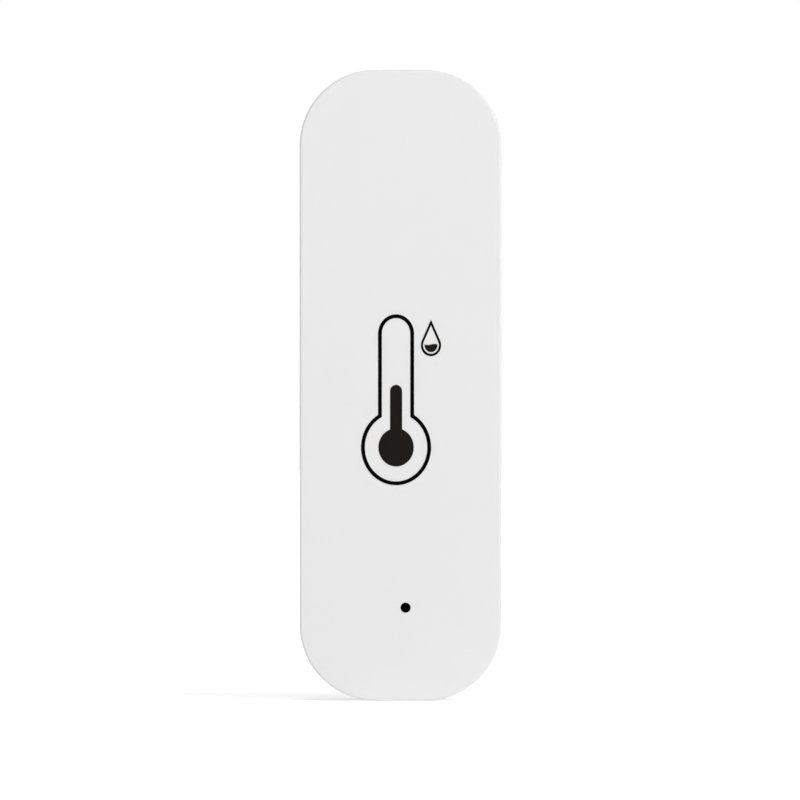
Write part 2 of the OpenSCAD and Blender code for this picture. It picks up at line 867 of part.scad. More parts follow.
// The two screws that hold the cradle and the board to the front shell
module cradle_screws() {
    color("silver") for (side = [-1, 1])
        translate([side * screw_x, face_y + board_rear + ear_t, screw_z]) rotate([-90, 0, 0])
            cradle_screw();
}

// One screw on the underside of its head: a turned shape with a cross recess
module cradle_screw() {
    reach = ear_t + board_t + screw_grip;
    bevel = screw_d / 4;
    difference() {
        rotate_extrude() polygon([
            [0, -reach], [screw_d / 2 - bevel, -reach], [screw_d / 2, bevel - reach], [screw_d / 2, 0],
            [screw_head_d / 2, 0], [screw_head_d / 2, screw_head_h / 2], [head_top_d / 2, screw_head_h],
            [0, screw_head_h]
        ]);
        for (turn = [0, 90])
            rotate([0, 0, turn]) translate([-recess_len / 2, -recess_w / 2, screw_head_h - recess_deep])
                cube([recess_len, recess_w, recess_deep + past]);
    }
}

// A contact plate in an end wall's seat
module contact_plate(x, w, z) {
    block(x, z + contact_t / 2, w, contact_t, cell_axis - contact_low, end_wall_top);
}

// The solder tab that runs from a contact plate through the board
module contact_tab(x, z) {
    block(x, z + contact_t / 2, tab_w, contact_t, board_front - tab_proud,
        cell_axis - contact_low + bite);
}

module positive_contact() {
    color("silver") {
        contact_plate(cell_x, contact_w, bay_z0 - contact_t);
        contact_tab(cell_x, bay_z0 - contact_t);
    }
}

module negative_contact() {
    color("silver") {
        contact_plate(-cell_x, contact_w, bay_z0 - contact_t);
        contact_tab(-cell_x, bay_z0 - contact_t);
    }
}

// The plate across the top of the bay, which joins one cell to the other
module bridge_contact() {
    color("silver") contact_plate(0, bridge_w, bay_z1);
}

// A conical contact spring on its foot, as one tube along the points of its coil
module contact_spring() {
    last = len(coil_path) - 1;
    points = [for (i = [0 : last], k = [0 : coil_sides - 1]) coil_ring_point(i, k)];
    walls = [for (i = [0 : last - 1], k = [0 : coil_sides - 1])
        let (a = i * coil_sides + k, b = i * coil_sides + (k + 1) % coil_sides)
        each [[a, b, a + coil_sides], [b, b + coil_sides, a + coil_sides]]];
    foot = [for (k = [1 : coil_sides - 2]) [0, k + 1, k]];
    tip = [for (k = [1 : coil_sides - 2])
        [last * coil_sides, last * coil_sides + k, last * coil_sides + k + 1]];
    polyhedron(points, concat(walls, foot, tip), convexity = 10);
}

module negative_spring() {
    color("silver") translate([-cell_x, face_y + cell_axis, bay_z0]) contact_spring();
}

module bridge_spring() {
    color("silver") translate([cell_x, face_y + cell_axis, bay_z1]) rotate([180, 0, 0]) contact_spring();
}

// Stands one cell's piece in its trough, the left cell with its pip up and the right one turned over
module in_trough(side) {
    translate([side * cell_x, face_y + cell_axis, side < 0 ? bay_z0 + spring_len : bay_z0 + cell_len])
        rotate([side < 0 ? 0 : 180, 0, 0]) children();
}

// A cell's steel can, with the pip on its upper end
module cell_can() {
    shoulder = cell_len - pip_h - jacket_t;
    rotate_extrude() polygon([
        [0, base_t], [cell_r - jacket_t, base_t], [cell_r - jacket_t, shoulder], [pip_d / 2, shoulder],
        [pip_d / 2, cell_len - pip_edge], [pip_d / 2 - pip_edge, cell_len], [0, cell_len]
    ]);
}

// A cell's printed jacket, drawn in over both ends of the can
module cell_jacket() {
    top = cell_len - pip_h;
    rotate_extrude() polygon([
        [cell_r - curl_in, base_rim], [cell_r - curl_edge, base_rim], [cell_r, base_rim + curl_edge],
        [cell_r, top - jacket_t / 2], [cell_r - jacket_t / 2, top], [cell_r - curl_in, top],
        [cell_r - curl_in, top - jacket_t], [cell_r - jacket_t, top - jacket_t],
        [cell_r - jacket_t, base_t], [cell_r - curl_in, base_t]
    ]);
}

// A cell's negative plate, just proud of the jacket
module cell_base() {
    cylinder(r = cell_r - curl_in - seat_clear, h = base_t);
}

module left_cell_can() { color("silver") in_trough(-1) cell_can(); }
module left_cell_jacket() { color("teal") in_trough(-1) cell_jacket(); }
module left_cell_base() { color("silver") in_trough(-1) cell_base(); }
module right_cell_can() { color("silver") in_trough(1) cell_can(); }
module right_cell_jacket() { color("teal") in_trough(1) cell_jacket(); }
module right_cell_base() { color("silver") in_trough(1) cell_base(); }

// The rear cover: back, rim, four tongues with snap beads, pad seat and pry notch
module rear_cover() {
    color("white") difference() {
        union() {
            difference() {
                bar(seam, body_d, 0, rear_fillet);
                plan(seam - past, body_d - cover_t) outline(wall_t);
            }
            for (side = [-1, 1]) {
                side_tongue(side);
                end_tongue(side);
                for (z = bead_z)
                    upright(side * bead_x, bead_depth, z - bead_len / 2, z + bead_len / 2, bead_r);
            }
        }
        plan(body_d - pad_sink, body_d + past) translate([0, body_h / 2])
            rounded_rectangle(pad_w + 2 * pad_clear, pad_h + 2 * pad_clear, pad_r + pad_clear);
        block(0, 0, pry_w, 2 * pry_in, seam - past, seam + pry_h);
    }
}

// A tongue along one side wall, on a foot that joins it to the cover
module side_tongue(side) {
    z = (side_tongue_z[0] + side_tongue_z[1]) / 2;
    h = side_tongue_z[1] - side_tongue_z[0];
    foot_w = tongue_t + tongue_gap + bite;
    block(side * (tongue_x + tongue_t / 2), z, tongue_t, h, seam - tongue_len, seam + bite);
    block(side * (tongue_x + foot_w / 2), z, foot_w, h, seam, body_d - cover_t + bite);
}

// A tongue along the top or the bottom wall, on a foot that joins it to the cover
module end_tongue(end) {
    reach = inner_h / 2 - tongue_gap - tongue_t;
    foot_h = tongue_t + tongue_gap + bite;
    block(0, body_h / 2 + end * (reach + tongue_t / 2), end_tongue_w, tongue_t, seam - tongue_len,
        seam + bite);
    block(0, body_h / 2 + end * (reach + foot_h / 2), end_tongue_w, foot_h, seam,
        body_d - cover_t + bite);
}

// The adhesive foam pad that holds the sensor on a wall
module mounting_pad() {
    color("gainsboro") plan(body_d - pad_sink, body_d + pad_proud) translate([0, body_h / 2])
        rounded_rectangle(pad_w, pad_h, pad_r);
}

front_shell();
thermometer_print();
droplet_print();
main_board();
radio_board();
radio_shield();
radio_antenna();
sensor_chip();
controller_chip();
boost_chip();
power_inductor();
storage_capacitor();
clock_crystal();
ceramic_capacitors();
chip_resistors();
status_led();
switch_base();
switch_frame();
switch_dome();
switch_plunger();
battery_cradle();
cradle_screws();
positive_contact();
negative_contact();
negative_spring();
bridge_contact();
bridge_spring();
left_cell_can();
left_cell_jacket();
left_cell_base();
right_cell_can();
right_cell_jacket();
right_cell_base();
rear_cover();
mounting_pad();
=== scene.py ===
# Temperature and humidity sensor: finishes, soft and wound pieces, light and camera round the CAD frame.
# Metres throughout; +Z is up and the front face looks along -Y.
import math

import bmesh
import bpy
from mathutils import Matrix, Vector


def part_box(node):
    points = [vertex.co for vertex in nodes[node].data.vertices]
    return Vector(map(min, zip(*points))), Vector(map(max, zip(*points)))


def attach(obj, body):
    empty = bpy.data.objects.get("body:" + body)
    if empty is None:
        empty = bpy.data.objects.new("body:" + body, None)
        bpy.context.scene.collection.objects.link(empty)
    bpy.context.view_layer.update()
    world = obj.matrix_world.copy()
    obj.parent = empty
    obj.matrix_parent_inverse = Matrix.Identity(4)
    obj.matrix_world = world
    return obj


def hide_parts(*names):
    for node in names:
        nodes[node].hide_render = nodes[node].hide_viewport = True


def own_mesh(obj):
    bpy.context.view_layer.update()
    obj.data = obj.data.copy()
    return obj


mm = 0.001

print("loading the frame")
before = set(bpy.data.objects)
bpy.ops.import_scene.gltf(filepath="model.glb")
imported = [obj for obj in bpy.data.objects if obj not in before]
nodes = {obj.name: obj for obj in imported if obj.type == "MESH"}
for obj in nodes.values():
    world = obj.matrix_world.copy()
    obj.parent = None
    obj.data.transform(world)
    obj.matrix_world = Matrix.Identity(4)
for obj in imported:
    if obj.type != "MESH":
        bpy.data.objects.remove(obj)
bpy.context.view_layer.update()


def middle(node):                                   # centre of a node's box
    low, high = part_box(node)
    return (low + high) / 2


# shader maths
class Sock:                                         # one output of a node tree, with arithmetic on it
    def __init__(self, tree, out):
        self.tree = tree
        self.out = out

    def make(self, kind, settings, values, out=0):  # any node: settings first, then its sockets
        node = self.tree.nodes.new("ShaderNode" + kind)
        for name, value in settings.items():
            if name == "stops":
                fillRamp(node.color_ramp, value)
            else:
                setattr(node, name, value)
        for key, value in values.items():
            if isinstance(value, Sock):
                self.tree.links.new(value.out, node.inputs[key])
            else:
                node.inputs[key].default_value = value
        return Sock(self.tree, node.outputs[out])

    def calc(self, operation, a, b=0.0):
        return self.make("Math", {"operation": operation}, {0: a, 1: b})

    def __add__(self, other):
        return self.calc("ADD", self, other)

    def __sub__(self, other):
        return self.calc("SUBTRACT", self, other)

    def __rsub__(self, other):
        return self.calc("SUBTRACT", other, self)

    def __mul__(self, other):
        return self.calc("MULTIPLY", self, other)

    def __lt__(self, other):
        return self.calc("LESS_THAN", self, other)

    def __gt__(self, other):
        return self.calc("GREATER_THAN", self, other)

    def __abs__(self):
        return self.calc("ABSOLUTE", self)

    __radd__ = __add__
    __rmul__ = __mul__

    def both(self, other):                          # the lesser of two masks
        return self.calc("MINIMUM", self, other)

    def either(self, other):                        # the greater of two masks
        return self.calc("MAXIMUM", self, other)

    def noise(self, size, detail=2.0):
        return self.make("TexNoise", {}, {"Vector": self, "Scale": 1 / size, "Detail": detail})

    def stretch(self, scale):                       # the same coordinates, drawn out along an axis
        return self.make("Mapping", {}, {"Vector": self, "Scale": scale})

    def mix(self, first, second):                   # colours, by this mask
        return self.make("Mix", {"data_type": "RGBA"}, {0: self, 6: first, 7: second}, 2)

    def axes(self):
        node = self.make("SeparateXYZ", {}, {0: self})
        outputs = node.out.node.outputs
        return [Sock(self.tree, outputs[i]) for i in range(3)]


def fillRamp(ramp, stops):                          # stops are (place, grey level)
    while len(ramp.elements) < len(stops):
        ramp.elements.new(0.5)
    for element, (place, level) in zip(ramp.elements, stops):
        element.position = place
        element.color = grey(level)


def rgba(colour, gain=1.0):
    return (*[min(1.0, c * gain) for c in colour], 1.0)


def grey(level):
    return (level, level, level, 1.0)


def startFinish(name):                              # a new material, its shader, its Object coordinates
    finish = bpy.data.materials.new(name)
    finish.use_nodes = True
    tree = finish.node_tree
    shader = tree.nodes["Principled BSDF"]
    coords = tree.nodes.new("ShaderNodeTexCoord")
    return finish, shader, Sock(tree, coords.outputs["Object"])


def wire(shader, values):                           # sets the shader's sockets, or links them
    tree = shader.id_data
    for key, value in values.items():
        if isinstance(value, Sock):
            tree.links.new(value.out, shader.inputs[key])
        else:
            shader.inputs[key].default_value = value


def bump(height, depth):
    return height.make("Bump", {}, {"Strength": 1.0, "Distance": depth, "Height": height})


def drift(level, noise, vary):                      # a level that a noise raises and lowers
    return level + (noise - 0.5) * vary


def mottle(noise, colour, vary):                    # a colour that a noise darkens and lightens
    return noise.mix(rgba(colour, 1 - vary), rgba(colour, 1 + vary))


def moulded(name, settings):                        # plastic, resin or ceramic with a fine grain
    finish, shader, spot = startFinish(name)
    grain = spot.noise(settings["grainSize"], detail=3.0)
    cloud = spot.noise(settings["cloudSize"])
    wire(shader, {
        "Base Color": mottle(cloud, settings["colour"], settings["vary"]),
        "Roughness": drift(settings["roughness"], grain, settings["roughVary"]),
        "Normal": bump(grain, settings["grainDepth"]),
        "Specular IOR Level": settings.get("specular", 0.5),
    })
    return finish


def metal(name, settings):                          # sheet or wire, with rolling lines along one axis
    finish, shader, spot = startFinish(name)
    lines = spot.stretch(settings["stretch"]).noise(settings["grainSize"], detail=3.0)
    stain = spot.noise(settings["cloudSize"], detail=3.0)
    wire(shader, {
        "Base Color": mottle(stain, settings["colour"], settings["vary"]),
        "Metallic": 1.0,
        "Roughness": drift(settings["roughness"], lines, settings["roughVary"]),
        "Normal": bump(lines, settings["grainDepth"]),
    })
    return finish


print("mixing the finishes")
casingWhite = moulded("casing_white", {
    "colour": (0.82, 0.82, 0.82), "vary": 0.004, "cloudSize": 14 * mm, "grainSize": 0.11 * mm,
    "grainDepth": 0.003 * mm, "roughness": 0.4, "roughVary": 0.1, "specular": 0.45})
cradleGrey = moulded("cradle_plastic", {
    "colour": (0.60, 0.61, 0.61), "vary": 0.02, "cloudSize": 8 * mm, "grainSize": 0.16 * mm,
    "grainDepth": 0.012 * mm, "roughness": 0.52, "roughVary": 0.16})
chipResin = moulded("chip_resin", {
    "colour": (0.022, 0.022, 0.024), "vary": 0.12, "cloudSize": 1.2 * mm, "grainSize": 0.05 * mm,
    "grainDepth": 0.006 * mm, "roughness": 0.55, "roughVary": 0.2})
ferriteGrey = moulded("ferrite_grey", {
    "colour": (0.07, 0.07, 0.074), "vary": 0.15, "cloudSize": 0.6 * mm, "grainSize": 0.08 * mm,
    "grainDepth": 0.01 * mm, "roughness": 0.62, "roughVary": 0.2})
amberResin = moulded("amber_resin", {
    "colour": (0.62, 0.36, 0.06), "vary": 0.06, "cloudSize": 1.5 * mm, "grainSize": 0.06 * mm,
    "grainDepth": 0.005 * mm, "roughness": 0.42, "roughVary": 0.12})
firedCeramic = moulded("fired_ceramic", {
    "colour": (0.42, 0.29, 0.19), "vary": 0.12, "cloudSize": 0.3 * mm, "grainSize": 0.04 * mm,
    "grainDepth": 0.005 * mm, "roughness": 0.5, "roughVary": 0.2})
resistorGlaze = moulded("resistor_glaze", {
    "colour": (0.03, 0.031, 0.036), "vary": 0.15, "cloudSize": 0.3 * mm, "grainSize": 0.05 * mm,
    "grainDepth": 0.003 * mm, "roughness": 0.3, "roughVary": 0.12})
lampResin = moulded("lamp_resin", {
    "colour": (0.85, 0.80, 0.56), "vary": 0.04, "cloudSize": 0.4 * mm, "grainSize": 0.05 * mm,
    "grainDepth": 0.002 * mm, "roughness": 0.22, "roughVary": 0.1})
buttonBlack = moulded("button_black", {
    "colour": (0.014, 0.014, 0.015), "vary": 0.15, "cloudSize": 0.9 * mm, "grainSize": 0.06 * mm,
    "grainDepth": 0.006 * mm, "roughness": 0.5, "roughVary": 0.16})
plungerBlackAndShade = moulded("plunger_black_and_shade", {           # black plastic darkened to near-black as painted shade, matte, so that the pinhole reads as a dark hole
    "colour": (0.003, 0.003, 0.0032), "vary": 0.15, "cloudSize": 0.6 * mm, "grainSize": 0.06 * mm,
    "grainDepth": 0.004 * mm, "roughness": 0.75, "roughVary": 0.12, "specular": 0.05})

shieldTin = metal("shield_tin", {
    "colour": (0.64, 0.64, 0.62), "vary": 0.07, "cloudSize": 2.5 * mm, "grainSize": 0.25 * mm,
    "stretch": (0.06, 1, 1), "grainDepth": 0.004 * mm, "roughness": 0.34, "roughVary": 0.22})
aerialGold = metal("aerial_gold", {
    "colour": (0.86, 0.63, 0.27), "vary": 0.08, "cloudSize": 0.8 * mm, "grainSize": 0.08 * mm,
    "stretch": (1, 1, 1), "grainDepth": 0.004 * mm, "roughness": 0.3, "roughVary": 0.16})
crystalLid = metal("crystal_lid", {
    "colour": (0.68, 0.65, 0.58), "vary": 0.05, "cloudSize": 0.8 * mm, "grainSize": 0.1 * mm,
    "stretch": (1, 1, 0.1), "grainDepth": 0.002 * mm, "roughness": 0.28, "roughVary": 0.14})
stampedSteel = metal("stamped_steel", {
    "colour": (0.60, 0.60, 0.58), "vary": 0.05, "cloudSize": 1.0 * mm, "grainSize": 0.12 * mm,
    "stretch": (0.1, 1, 1), "grainDepth": 0.003 * mm, "roughness": 0.32, "roughVary": 0.18})
nickelSheet = metal("nickel_sheet", {
    "colour": (0.70, 0.68, 0.63), "vary": 0.05, "cloudSize": 3 * mm, "grainSize": 0.2 * mm,
    "stretch": (0.08, 1, 1), "grainDepth": 0.003 * mm, "roughness": 0.27, "roughVary": 0.16})
springNickel = metal("spring_nickel", {
    "colour": (0.70, 0.68, 0.64), "vary": 0.06, "cloudSize": 0.7 * mm, "grainSize": 0.06 * mm,
    "stretch": (1, 1, 1), "grainDepth": 0.003 * mm, "roughness": 0.24, "roughVary": 0.12})
cellNickel = metal("cell_nickel", {
    "colour": (0.66, 0.65, 0.62), "vary": 0.05, "cloudSize": 2 * mm, "grainSize": 0.12 * mm,
    "stretch": (1, 1, 0.1), "grainDepth": 0.002 * mm, "roughness": 0.28, "roughVary": 0.14})
screwZinc = metal("screw_zinc", {
    "colour": (0.58, 0.57, 0.54), "vary": 0.12, "cloudSize": 0.8 * mm, "grainSize": 0.1 * mm,
    "stretch": (1, 1, 1), "grainDepth": 0.006 * mm, "roughness": 0.36, "roughVary": 0.2})
solderTin = metal("solder_tin", {
    "colour": (0.72, 0.72, 0.71), "vary": 0.07, "cloudSize": 0.5 * mm, "grainSize": 0.1 * mm,
    "stretch": (1, 1, 1), "grainDepth": 0.006 * mm, "roughness": 0.26, "roughVary": 0.18})

# black sign ink: the thin lines are a deeper black than the filled shapes; the signs' round feet are
# "tall" times as high as they are wide
inkSettings = {
    "line": (0.0006, 0.0006, 0.0006), "fill": (0.0128, 0.0108, 0.009), "roughness": 0.6, "roughVary": 0.2,
    "specular": 0.02, "grainSize": 0.07 * mm, "grainDepth": 0.002 * mm, "tall": 1.08,
    "bulbReach": 3.2 * mm, "columnHalf": 1.25 * mm, "columnTop": 10 * mm, "waterReach": 0.93 * mm}


def signInk(name, node, reach, columnTop=0.0):
    finish, shader, spot = startFinish(name)
    low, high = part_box(node)
    x, _, z = spot.axes()
    grain = spot.noise(inkSettings["grainSize"], detail=3.0)
    across = x - (low.x + high.x) / 2
    up = (z - low.z) * (1 / inkSettings["tall"]) - (high.x - low.x) / 2     # from the round foot's middle
    filled = (across * across + up * up) < reach * reach
    column = (abs(across) < inkSettings["columnHalf"]).both(up > 0).both(up < columnTop)
    wire(shader, {
        "Base Color": filled.either(column).mix(rgba(inkSettings["line"]), rgba(inkSettings["fill"])),
        "Roughness": drift(inkSettings["roughness"], grain, inkSettings["roughVary"]),
        "Normal": bump(grain, inkSettings["grainDepth"]),
        "Specular IOR Level": inkSettings["specular"],
    })
    return finish


# solder mask over copper: tracks stand a little lighter, vias are plated rings round holes painted
# near-black as painted shade, the rim is bare laminate
maskSettings = {
    "trackHalf": 0.11 * mm, "patch": 3.2 * mm,
    "levelRuns": {"long": 4.6 * mm, "apart": 1.15 * mm, "shift": 0.5},
    "uprightRuns": {"long": 5.2 * mm, "apart": 1.7 * mm, "shift": 0.37},
    "viaRing": 0.35 * mm, "viaHole": 0.17 * mm, "viaScatter": 0.6, "aerialClear": 0.4 * mm,
    "outlineGap": 0.14 * mm, "outlineWide": 0.16 * mm, "outline": (0.74, 0.75, 0.72),
    "plating": (0.80, 0.60, 0.28), "drilledShade": (0.01, 0.012, 0.01), "film": 0.03 * mm,
    "grainSize": 0.05 * mm, "weaveSize": 0.5 * mm, "relief": 0.03 * mm, "trackRise": 0.7,
    "grainRise": 0.15, "ringRise": 0.5, "roughness": 0.3, "roughVary": 0.16, "rimRough": 0.35,
    "coat": 0.25, "coatRoughness": 0.2}


def trackRuns(plane, runs):                         # thin lines, as the joints of a brick wall
    return plane.make("TexBrick", {"offset": runs["shift"]}, {
        "Vector": plane, "Scale": 1.0, "Mortar Size": maskSettings["trackHalf"], "Mortar Smooth": 0.0,
        "Brick Width": runs["long"], "Row Height": runs["apart"]}, 1)


def partOutline(axes, node, depth):                 # a printed line round a part, on its own side
    x, y, z = axes
    low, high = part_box(node)
    centre = middle(node)
    beside = abs(x - centre.x) - (high.x - low.x) / 2
    above = abs(z - centre.z) - (high.z - low.z) / 2
    apart = beside.either(above)
    gap, wide = maskSettings["outlineGap"], maskSettings["outlineWide"]
    ownSide = y > depth if centre.y > depth else y < depth
    return (apart > gap).both(apart < gap + wide).both(ownSide)


def solderMask(name, settings):
    finish, shader, spot = startFinish(name)
    x, y, z = spot.axes()
    flat = spot.make("CombineXYZ", {}, {0: x, 1: z, 2: 0.0})
    turned = spot.make("CombineXYZ", {}, {0: z, 1: x, 2: 0.0})
    patches = flat.noise(maskSettings["patch"], detail=0.0) > 0.5
    level = trackRuns(flat, maskSettings["levelRuns"])
    upright = trackRuns(turned, maskSettings["uprightRuns"])
    tracks = (level * patches).either(upright * (1 - patches))
    cells = flat.make("TexVoronoi", {"voronoi_dimensions": "2D"}, {
        "Vector": flat, "Scale": 1 / settings["viaStep"], "Randomness": maskSettings["viaScatter"]})
    viaUp = Sock(cells.tree, cells.out.node.outputs["Position"]).axes()[1]
    drilledArea = viaUp > settings["viasAbove"]     # by the via's middle, so that none is cut in two
    ringReach = maskSettings["viaRing"] / settings["viaStep"]
    holeReach = maskSettings["viaHole"] / settings["viaStep"]
    ring = (cells < ringReach).both(cells > holeReach).both(drilledArea)
    hole = (cells < holeReach).both(drilledArea)
    rim = abs(y - settings["depth"]) < settings["half"]
    grain = spot.noise(maskSettings["grainSize"], detail=3.0)
    weave = spot.noise(maskSettings["weaveSize"])
    mask = tracks.mix(rgba(settings["mask"]), rgba(settings["track"]))
    plated = ring.mix(mask, rgba(maskSettings["plating"]))
    # the via holes are painted near-black: painted shade in place of the open drill
    printed = hole.mix(plated, rgba(maskSettings["drilledShade"]))
    for node in settings["outlined"]:
        line = partOutline((x, y, z), node, settings["depth"])
        printed = line.mix(printed, rgba(maskSettings["outline"]))
    copper = tracks * maskSettings["trackRise"] + ring * maskSettings["ringRise"]
    rough = drift(maskSettings["roughness"], weave, maskSettings["roughVary"])
    wire(shader, {
        "Base Color": rim.mix(printed, rgba(settings["laminate"])),
        "Metallic": ring * (1 - rim),
        "Roughness": rough + rim * maskSettings["rimRough"],
        "Normal": bump(copper + grain * maskSettings["grainRise"], maskSettings["relief"]),
        "Coat Roughness": maskSettings["coatRoughness"],
        "Coat Weight": maskSettings["coat"] * (1 - rim),
    })
    return finish


def boardDepth(node):                               # middle of a board's thickness, half its bare rim
    low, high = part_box(node)
    return {"depth": (low.y + high.y) / 2, "half": (high.y - low.y) / 2 - maskSettings["film"]}


mainMask = solderMask("board_green", {
    "mask": (0.012, 0.105, 0.042), "track": (0.022, 0.165, 0.066), "laminate": (0.42, 0.40, 0.20),
    "viaStep": 3.7 * mm, "viasAbove": 0.0, **boardDepth("main_board"),
    "outlined": ["radio_board", "controller_chip", "boost_chip", "power_inductor", "storage_capacitor",
                 "clock_crystal", "sensor_chip", "switch_base"]})
radioMask = solderMask("radio_black", {
    "mask": (0.012, 0.013, 0.016), "track": (0.024, 0.026, 0.031), "laminate": (0.30, 0.27, 0.16),
    "viaStep": 2.2 * mm, "viasAbove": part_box("radio_antenna")[1].z + maskSettings["aerialClear"],
    **boardDepth("radio_board"), "outlined": []})

# plain printed sleeve of a cell: teal body, pale grey end by the pip, plus and minus signs
sleeveSettings = {
    "body": (0.018, 0.105, 0.115), "band": (0.56, 0.57, 0.57), "line": (0.78, 0.78, 0.76),
    "bandLen": 12.5 * mm, "lineWide": 0.5 * mm, "signAway": 6 * mm, "signArm": 1.7 * mm,
    "signHalf": 0.36 * mm, "foil": 0.2, "shrinkSize": 0.5 * mm, "shrinkDraw": (1, 1, 0.05),
    "shrinkDepth": 0.006 * mm, "roughness": 0.24, "roughVary": 0.14, "coat": 0.4, "coatRoughness": 0.1}


def cellSleeve(name, node, pipUp):
    finish, shader, spot = startFinish(name)
    low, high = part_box(node)
    centre = middle(node)
    x, y, z = spot.axes()
    angle = spot.calc("ARCTAN2", x - centre.x, y - centre.y)
    roundAbout = angle * ((high.x - low.x) / 2)     # distance round the sleeve from its rear
    fromPip = (high.z - z) if pipUp else (z - low.z)
    fromFoot = (z - low.z) if pipUp else (high.z - z)
    band = fromPip < sleeveSettings["bandLen"]
    line = abs(fromPip - sleeveSettings["bandLen"]) < sleeveSettings["lineWide"] / 2
    arm, half = sleeveSettings["signArm"], sleeveSettings["signHalf"]
    plusUp = fromPip - sleeveSettings["signAway"]
    minusUp = fromFoot - sleeveSettings["signAway"]
    bar = (abs(roundAbout) < arm).both(abs(plusUp) < half)
    post = (abs(roundAbout) < half).both(abs(plusUp) < arm)
    plus = bar.either(post)
    minus = (abs(roundAbout) < arm).both(abs(minusUp) < half)
    shrink = spot.stretch(sleeveSettings["shrinkDraw"]).noise(sleeveSettings["shrinkSize"])
    paint = band.mix(rgba(sleeveSettings["body"]), rgba(sleeveSettings["band"]))
    lined = line.either(minus).mix(paint, rgba(sleeveSettings["line"]))
    wire(shader, {
        "Base Color": plus.mix(lined, rgba(sleeveSettings["body"])),
        "Metallic": band * (1 - plus) * sleeveSettings["foil"],
        "Roughness": drift(sleeveSettings["roughness"], shrink, sleeveSettings["roughVary"]),
        "Normal": bump(shrink, sleeveSettings["shrinkDepth"]),
        "Coat Weight": sleeveSettings["coat"],
        "Coat Roughness": sleeveSettings["coatRoughness"],
    })
    return finish


# the air chip: moulded black, with a pale membrane in its port
airSettings = {
    "resin": (0.035, 0.035, 0.038), "membrane": (0.62, 0.60, 0.54), "portReach": 0.44 * mm,
    "sunk": 0.05 * mm, "grainSize": 0.05 * mm, "grainDepth": 0.006 * mm, "roughness": 0.5,
    "roughVary": 0.2}


def airChip(name):
    finish, shader, spot = startFinish(name)
    x, y, z = spot.axes()
    centre = middle("sensor_chip")
    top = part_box("sensor_chip")[1].y
    away = (x - centre.x) * (x - centre.x) + (z - centre.z) * (z - centre.z)
    port = (away < airSettings["portReach"] ** 2).both(y < top - airSettings["sunk"])
    grain = spot.noise(airSettings["grainSize"], detail=3.0)
    wire(shader, {
        "Base Color": port.mix(rgba(airSettings["resin"]), rgba(airSettings["membrane"])),
        "Roughness": drift(airSettings["roughness"], grain, airSettings["roughVary"]),
        "Normal": bump(grain, airSettings["grainDepth"]),
    })
    return finish


# closed-cell foam with small burst bubbles, whose pits are painted darker as painted shade
foamSettings = {
    "colour": (0.70, 0.70, 0.68), "vary": 0.05, "cloudSize": 2.2 * mm, "pit": (0.61, 0.61, 0.59),
    "bubble": 0.3 * mm, "burstStops": [(0.1, 1.0), (0.42, 0.0)], "depth": 0.04 * mm,
    "roughness": 0.78, "roughVary": 0.2, "specular": 0.25}


def padFoam(name):
    finish, shader, spot = startFinish(name)
    bubbles = spot.make("TexVoronoi", {}, {"Vector": spot, "Scale": 1 / foamSettings["bubble"]})
    cloud = spot.noise(foamSettings["cloudSize"], detail=3.0)
    burst = bubbles.make("ValToRGB", {"stops": foamSettings["burstStops"]}, {"Fac": bubbles})
    mottled = mottle(cloud, foamSettings["colour"], foamSettings["vary"])
    wire(shader, {
        # the burst pits take the darker pit colour: painted shade in the hollows
        "Base Color": burst.mix(mottled, rgba(foamSettings["pit"])),
        "Roughness": drift(foamSettings["roughness"], cloud, foamSettings["roughVary"]),
        "Normal": bump(1 - burst, foamSettings["depth"]),
        "Specular IOR Level": foamSettings["specular"],
    })
    return finish


foamWhite = padFoam("foam_white")

finishes = {
    "front_shell": casingWhite, "rear_cover": casingWhite,
    "thermometer_print": signInk("thermometer_ink", "thermometer_print", inkSettings["bulbReach"],
                                 inkSettings["columnTop"]),
    "droplet_print": signInk("droplet_ink", "droplet_print", inkSettings["waterReach"]),
    "main_board": mainMask, "radio_board": radioMask, "radio_shield": shieldTin,
    "radio_antenna": aerialGold, "sensor_chip": airChip("air_chip"), "controller_chip": chipResin,
    "boost_chip": chipResin, "power_inductor": ferriteGrey, "storage_capacitor": amberResin,
    "clock_crystal": crystalLid, "ceramic_capacitors": firedCeramic, "chip_resistors": resistorGlaze,
    "status_led": lampResin, "switch_base": buttonBlack, "switch_frame": stampedSteel,
    "switch_plunger": plungerBlackAndShade, "battery_cradle": cradleGrey, "cradle_screws": screwZinc,
    "positive_contact": nickelSheet, "negative_contact": nickelSheet, "bridge_contact": nickelSheet,
    "left_cell_can": cellNickel, "left_cell_base": cellNickel, "right_cell_can": cellNickel,
    "right_cell_base": cellNickel,
    "left_cell_jacket": cellSleeve("left_sleeve", "left_cell_jacket", True),
    "right_cell_jacket": cellSleeve("right_sleeve", "right_cell_jacket", False),
}
for name, finish in finishes.items():
    for slot in nodes[name].material_slots:
        slot.material = finish

# modelling
mergeNear = 0.001 * mm                              # points nearer than this are merged
cutNear = 0.0001 * mm                               # a cut leaves points this near its plane alone
facing = 0.9                                        # least part of a normal that lies along its axis
crisp = {"metal": math.radians(40), "soft": math.radians(50)}       # sharper edges aren't smoothed


def leaveEdit():
    if bpy.context.mode != "OBJECT":
        bpy.ops.object.mode_set(mode="OBJECT")


def startPiece():                                   # deselects all, so operators touch only the new piece
    leaveEdit()
    bpy.ops.object.select_all(action="DESELECT")


def pick(kind, test):                               # selects what passes the test, in edit mode
    bpy.ops.mesh.select_mode(type=kind)
    bpy.ops.mesh.select_all(action="DESELECT")
    mesh = bmesh.from_edit_mesh(bpy.context.object.data)
    items = {"VERT": mesh.verts, "FACE": mesh.faces}[kind]
    for item in items:
        item.select_set(bool(test(item)))
    mesh.select_flush_mode()
    bmesh.update_edit_mesh(bpy.context.object.data)


def applyAll():
    for modifier in list(bpy.context.object.modifiers):
        bpy.ops.object.modifier_apply(modifier=modifier.name)


def applyPlace():                                   # the place goes into the mesh
    bpy.ops.object.transform_apply(location=True, rotation=True, scale=True)


